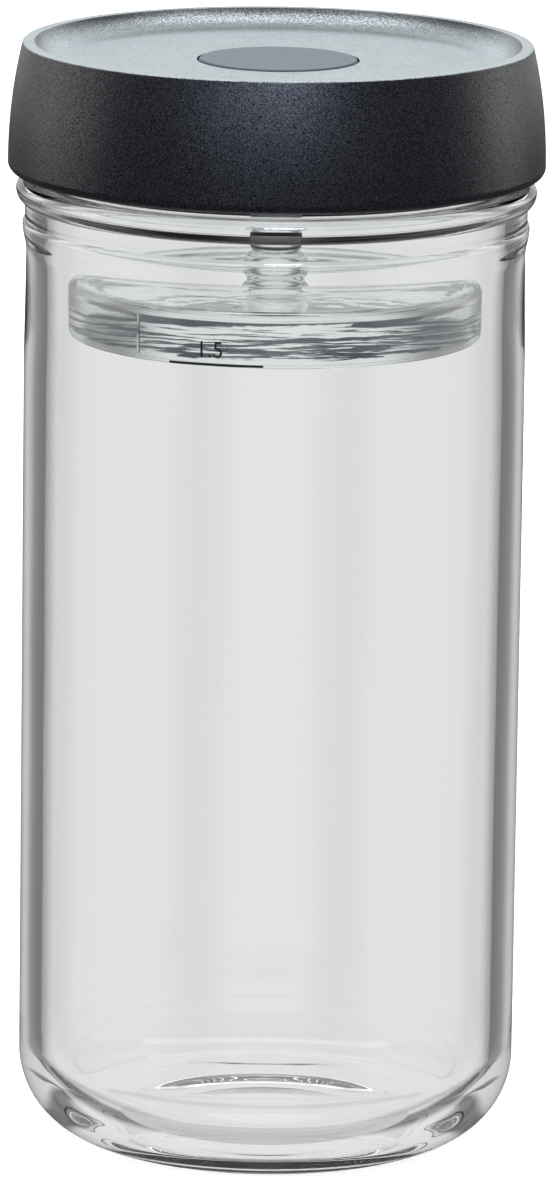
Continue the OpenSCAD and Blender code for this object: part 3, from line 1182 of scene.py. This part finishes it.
@dataclass
class Studio:
    """Camera, floor, backdrop, the ring round the object, lamps and light paths."""

    image_h: int = 1181
    focal_px: float = 8373.0
    sensor: float = 36.0
    clip: tuple = (0.1, 20.0)
    distance: float = 1.9
    elevation: float = 12.25
    roll: float = 0.76
    aim_mm: tuple = (1.07, 0.0, 126.0)
    paper_size: float = 6.0
    floor_place: tuple = (0, 0, -0.0002)
    wall_place: tuple = (0, 2.2, 2.0)
    floor_glow: Glow = Glow(camera=0.7, mirrored=0.1, through=0.3)
    floor_far: float = 0.35
    wall_glow: Glow = Glow(camera=0.9, mirrored=0.88, through=0.5)
    ring_r: float = 0.9
    ring_h: float = 2.4
    ring_sides: int = 96
    under_glow: float = 0.62
    under_colour: str = "F6F6F4"
    room_colour: str = "F4F5F6"
    room_glow: float = 0.24
    bounces: int = 64
    bent_bounces: int = 32
    mirror_bounces: int = 60
    clear_bounces: int = 16

    def camera(self) -> None:
        """Place the camera where the photograph was taken from."""
        data = bpy.data.cameras.new("camera")
        data.sensor_width = self.sensor
        data.lens = self.focal_px * self.sensor / self.image_h
        data.clip_start, data.clip_end = self.clip
        obj = bpy.data.objects.new("camera", data)
        bpy.context.scene.collection.objects.link(obj)
        tilt = math.radians(self.elevation)
        back = Vector((0, -math.cos(tilt), math.sin(tilt)))
        place = Vector(self.aim_mm) * MM + back * self.distance
        facing = Matrix.Rotation(math.pi / 2 - tilt, 4, "X")
        turned = Matrix.Rotation(math.radians(self.roll), 4, "Z")
        obj.matrix_world = Matrix.Translation(place) @ facing @ turned
        bpy.context.scene.camera = obj

    def surfaces(self) -> None:
        """Lay the pale floor, raise the backdrop behind the object and hang the cards."""
        deselect_all()
        bpy.ops.mesh.primitive_plane_add(size=self.paper_size, location=self.floor_place)
        floor = bpy.context.object
        floor.name = "floor"
        dress(floor, StudioPaper("floor_paper", self.floor_glow, self.floor_far).material())
        floor.visible_transmission = False
        bpy.ops.mesh.primitive_plane_add(size=self.paper_size, location=self.wall_place,
                                         rotation=(math.pi / 2, 0, 0))
        wall = bpy.context.object
        wall.name = "backdrop"
        dress(wall, StudioPaper("backdrop_paper", self.wall_glow).material())
        wall.visible_camera = False
        for card in CARDS:
            card.hang()

    def surround(self) -> None:
        """Stand a ring of paper round the object, and a card below, seen only through glass.

        The ring's dark bands, on both sides of the front and of the back, are what draws the
        edges of clear glass.
        """
        deselect_all()
        bpy.ops.mesh.primitive_cylinder_add(
            vertices=self.ring_sides, radius=self.ring_r, depth=self.ring_h,
            end_fill_type="NOTHING", location=(0, 0, 0))
        ring = bpy.context.object
        ring.name = "surround"
        ring.visible_camera = ring.visible_glossy = False
        ring.visible_diffuse = ring.visible_shadow = False
        dress(ring, BandedPaper("banded_paper").material())
        width = 2 * self.ring_r
        Card("under_paper", (0, 0, -self.ring_h / 2), (width, width), self.under_glow,
             colour=self.under_colour, through=True).hang()

    def lights(self) -> None:
        """Hang the lamps and set the level of the room, which is white for the camera."""
        for lamp in LAMPS:
            lamp.hang()
        world = bpy.data.worlds.new("room")
        bpy.context.scene.world = world
        world.use_nodes = True
        tree = world.node_tree
        tree.nodes.clear()
        path = add_node(tree, "ShaderNodeLightPath")
        levels = ((self.room_colour, self.room_glow), ("FFFFFF", 1.0))
        dim, white = (add_node(tree, "ShaderNodeBackground", {
            "Color": linear(colour), "Strength": glow,
        }).outputs["Background"] for colour, glow in levels)
        room = mix_shaders(tree, path.outputs["Is Camera Ray"], dim, white)
        add_node(tree, "ShaderNodeOutputWorld", {"Surface": room})

    def look(self) -> None:
        """Set the plain view transform and the light paths that thick clear glass needs."""
        scene = bpy.context.scene
        scene.view_settings.view_transform = "Standard"
        scene.cycles.max_bounces = self.bounces
        scene.cycles.transmission_bounces = self.bent_bounces
        scene.cycles.glossy_bounces = self.mirror_bounces
        scene.cycles.transparent_max_bounces = self.clear_bounces
        scene.cycles.use_denoising = True


def main() -> None:
    """Build the studio and the jar's pieces in order, and report each."""
    logging.basicConfig(level=logging.INFO, format="%(name)s: %(message)s")
    studio = Studio()
    studio.camera()
    pieces = [
        GlassJar(ClearGlass("soda_lime_glass")).build(),
        *FillMark(ScreenInk("fired_screen_ink")).build(),
        GlassWeight(ClearGlass("pressed_soda_lime_glass", colour="F8FAFA", wave_mm=11.0,
                               wave_depth_mm=0.06, ripple_depth_mm=0.03)).build(),
        *ScrewLid(
            # the second colour of each grained plastic is its painted glint colour
            cover=GrainedPlastic("spark_eroded_polypropylene", "0B0A0E", "25252C", 0.34),
            liner=GrainedPlastic("smooth_polypropylene", "17171A", "1C1C1F", 0.35,
                                 grain_depth_mm=0.004, sparkle=0.0),
            seal=MatteSilicone("seal_silicone_rubber", "4A4D50", "565A5E"),
        ).build(),
    ]
    VentValve(
        stem=ShadeBandedStem("polypropylene_and_silicone_stem"),
        flap=MatteSilicone("flap_silicone_rubber", "6A6E72", "767A7E"),
        cap=MatteSilicone("cap_silicone_rubber", "30353B", "3A3F45", roughness=0.6, gloss=0.14),
    ).build()
    for piece in pieces:
        LOG.info("%s: %d faces", piece.name, len(piece.data.polygons))
    studio.surfaces()
    studio.surround()
    studio.lights()
    studio.look()


if __name__ == "__main__":
    main()
